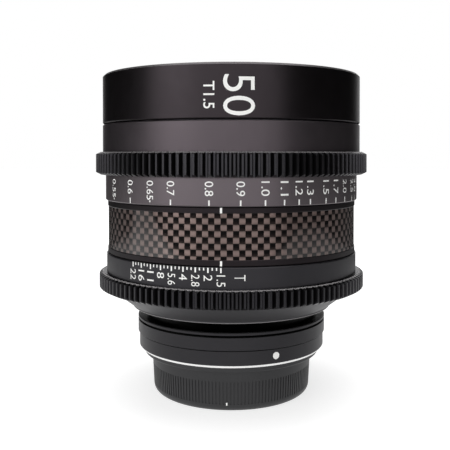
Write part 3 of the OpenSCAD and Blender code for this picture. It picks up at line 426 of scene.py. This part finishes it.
# Iris scale: one stop is a fixed angle, with two short ticks between stops.
STOP = 5.08
STOPS = [("1.5", 3.6), ("2", 1.9), ("2.8", 3.7), ("4", 1.9), ("5.6", 3.7), ("8", 1.9), ("11", 3.2),
         ("16", 3.6), ("22", 3.6)]
IRIS_NUMBER_TOP, STOP_TICK, THIRD_TICK, THIRD_W = 49.3, (50.0, 51.6), (50.7, 51.6), 0.4

labels, ticks = [], []
for i, (text, length) in enumerate(STOPS):
    labels.append((text, -STOP * i, IRIS_NUMBER_TOP, length, NUMBER_W, 0.0))
    ticks.append((-STOP * i, *STOP_TICK, TICK_W))
    if i < len(STOPS) - 1:
        for k in (1, 2):
            ticks.append((-STOP * (i + k / 3), *THIRD_TICK, THIRD_W))
labels.append(("T", 7.4, 49.4, 1.9, 3.4, -0.01))
lettering("iris_numbers", labels, IRIS_R, "iris_ring")
marks("iris_ticks", ticks, IRIS_R, "iris_ring")

# Numbers on the front ring, index lines on the trim rings, and the mark on the cap.
INDEX_W = 0.7
lettering("front_numbers", [("50", 6.95, 111.75, 12.7, 9.9, -0.004),
                            ("T1.5", -4.4, 109.7, 8.5, 3.5, 0.008)], FRONT_R, "barrel")
marks("index_upper", [(0.0, CARBON_TOP + 0.1, TRIM_HI_TOP - 0.15, INDEX_W)], TRIM_R, "barrel")
marks("index_lower", [(0.0, TRIM_LO_Z + 0.25, CARBON_Z - 0.25, INDEX_W)], TRIM_R, "barrel")
marks("cap_mark", [(1.0, 2.45, 3.35, 0.5)], CAP_R, "cap")

# Filter thread: pitch and depth in mm, steps in a turn, steps in which its ends run out, and the
# ridge's profile as (share of the pitch, share of the depth).
PITCH, DEPTH, STEPS, RUN_OUT = 0.75, 0.4, 160, 12.0
RIDGE = ((0.04, 0.0), (0.42, 1.0), (0.54, 1.0), (0.92, 0.0))
WALL_GAP = 0.005


def thread(name, r, z0, z1, mat, body):
    """A helical ridge on the inside of a wall of radius r."""
    bm = bmesh.new()
    total = int((z1 - z0 - PITCH) / PITCH * STEPS)
    rows = []
    for i in range(total + 1):
        a = 2 * math.pi * i / STEPS
        z = z0 + PITCH * i / STEPS
        fade = min(1.0, i / RUN_OUT, (total - i) / RUN_OUT)
        row = []
        for up, k in RIDGE:
            rr = (r - WALL_GAP - DEPTH * k * fade) * MM
            row.append(bm.verts.new((rr * math.cos(a), rr * math.sin(a), (z + up * PITCH) * MM)))
        rows.append(row)
    for a, b in zip(rows, rows[1:]):
        for k in range(len(RIDGE) - 1):
            bm.faces.new((a[k], a[k + 1], b[k + 1], b[k]))
    keep(name, bm, mat, body)


thread("filter_thread_ridge", FILTER_R, FILTER_Z + 0.3, FRONT_TOP - 0.7, FRONT_BLACK, "barrel")

# The floor is white to the camera and keeps the object's shadow. Other rays meet a plain glow of
# at most white that fades away from the object, and has a straight front edge.
FLOOR_HALF, FLOOR_Z = 4.0, -0.0001
FLOOR_NEAR, DIM = 0.75, 0.02

mesh = bpy.data.meshes.new("floor")
mesh.from_pydata([(sx * FLOOR_HALF, sy * FLOOR_HALF, FLOOR_Z)
                  for sx, sy in ((-1, -1), (1, -1), (1, 1), (-1, 1))], [], [(0, 1, 2, 3)])
floor = bpy.data.objects.new("floor", mesh)
bpy.context.scene.collection.objects.link(floor)

fm = Mat("floor_white")
length = fm.node("ShaderNodeVectorMath", operation="LENGTH")
fm.put(length.inputs[0], fm.co)
away = length.outputs["Value"]
fm.set(Base_Color=(0.45, 0.45, 0.45), Roughness=0.6, Specular_IOR_Level=0.1,
       Emission_Color=(1.0, 1.0, 1.0), Emission_Strength=fm.span(away, FLOOR_NEAR, 1.0, 0.10, 0.40))
fx, fy, fz = fm.split(fm.co)
behind = fm.times(fm.math("MAXIMUM", fy, 0.0), 0.8)
near = fm.span(fm.add(away, behind), DIM, 1.0, 0.7, 0.3)
left = fm.times(fm.span(fy, 1.0, 0.0, -0.03, 0.07), fm.span(fx, 1.0, 0.0, -0.30, -0.12))
glow = fm.add(fm.times(near, fm.span(fx, 1.0, 0.9, -0.3, 0.3)), fm.times(left, 0.6))
glow = fm.times(glow, fm.span(fy, DIM, 1.0, -0.34, -0.28))
mirrored = fm.node("ShaderNodeEmission")
fm.put(mirrored.inputs["Strength"], glow)
both = fm.node("ShaderNodeMixShader")
fm.put(both.inputs[0], fm.seen_rays())
fm.put(both.inputs[1], mirrored.outputs[0])
fm.put(both.inputs[2], fm.bsdf.outputs[0])
fm.put(fm.first("OUTPUT_MATERIAL").inputs["Surface"], both.outputs[0])
mesh.materials.append(fm.m)

# The world is white where it is seen, and behind the object for reflections, and dark elsewhere.
DARK_ROOM = 0.01
BACKDROP_EDGE, BACKDROP_FULL = 0.82, 0.94

world = bpy.data.worlds.new("studio")
bpy.context.scene.world = world
world.use_nodes = True
sky = Tree(world.node_tree)
ray = sky.split(sky.node("ShaderNodeTexCoord").outputs["Generated"])
backdrop = sky.span(ray["Y"], 0.0, 1.0, BACKDROP_EDGE, BACKDROP_FULL)
glossy = sky.times(sky.node("ShaderNodeLightPath").outputs["Is Glossy Ray"], backdrop)
background = sky.first("BACKGROUND")
sky.put(background.inputs["Color"], 1.0)
sky.put(background.inputs["Strength"],
        sky.span(sky.math("MAXIMUM", sky.seen_rays(), glossy), DARK_ROOM, 1.0))


def area(name, at, to, w, h, watts):
    d = bpy.data.lights.new(name, "AREA")
    d.shape = "RECTANGLE"
    d.size, d.size_y, d.energy = w, h, watts
    o = bpy.data.objects.new(name, d)
    bpy.context.scene.collection.objects.link(o)
    o.location = at
    o.rotation_euler = (Vector(to) - Vector(at)).to_track_quat("-Z", "Y").to_euler()


MIDDLE = (0, 0, 0.08)
area("key_left", (-0.54, -0.59, 0.36), MIDDLE, 0.40, 0.40, 1.0)
area("front_panel", (-0.19, -1.00, 0.26), MIDDLE, 3.2, 0.50, 11.6)
area("top", (0.0, 0.0, 1.0), (0, 0, 0.0), 1.0, 1.0, 11.0)

# Camera as fitted to the photo: its width, focal length and offsets are in pixels.
WIDTH, FOCAL, OFFSET_X, OFFSET_Y = 450.0, 704.5, 6.3, 69.65
SENSOR, DISTANCE, EYE_Z = 36.0, 0.265, 0.0867
AZIMUTH, TILT = math.radians(4.03), math.radians(0.9)

cam_d = bpy.data.cameras.new("camera")
cam = bpy.data.objects.new("camera", cam_d)
bpy.context.scene.collection.objects.link(cam)
cam_d.sensor_width = SENSOR
cam_d.lens = FOCAL * SENSOR / WIDTH
cam.location = (DISTANCE * math.sin(AZIMUTH), -DISTANCE * math.cos(AZIMUTH), EYE_Z)
aim = Vector((-math.sin(AZIMUTH) * math.cos(TILT), math.cos(AZIMUTH) * math.cos(TILT),
              -math.sin(TILT)))
cam.rotation_euler = aim.to_track_quat("-Z", "Y").to_euler()
cam_d.shift_x = -OFFSET_X / WIDTH
cam_d.shift_y = -(OFFSET_Y - FOCAL * math.tan(TILT)) / WIDTH
cam_d.clip_start = 0.01
bpy.context.scene.camera = cam
bpy.context.scene.view_settings.view_transform = "Standard"
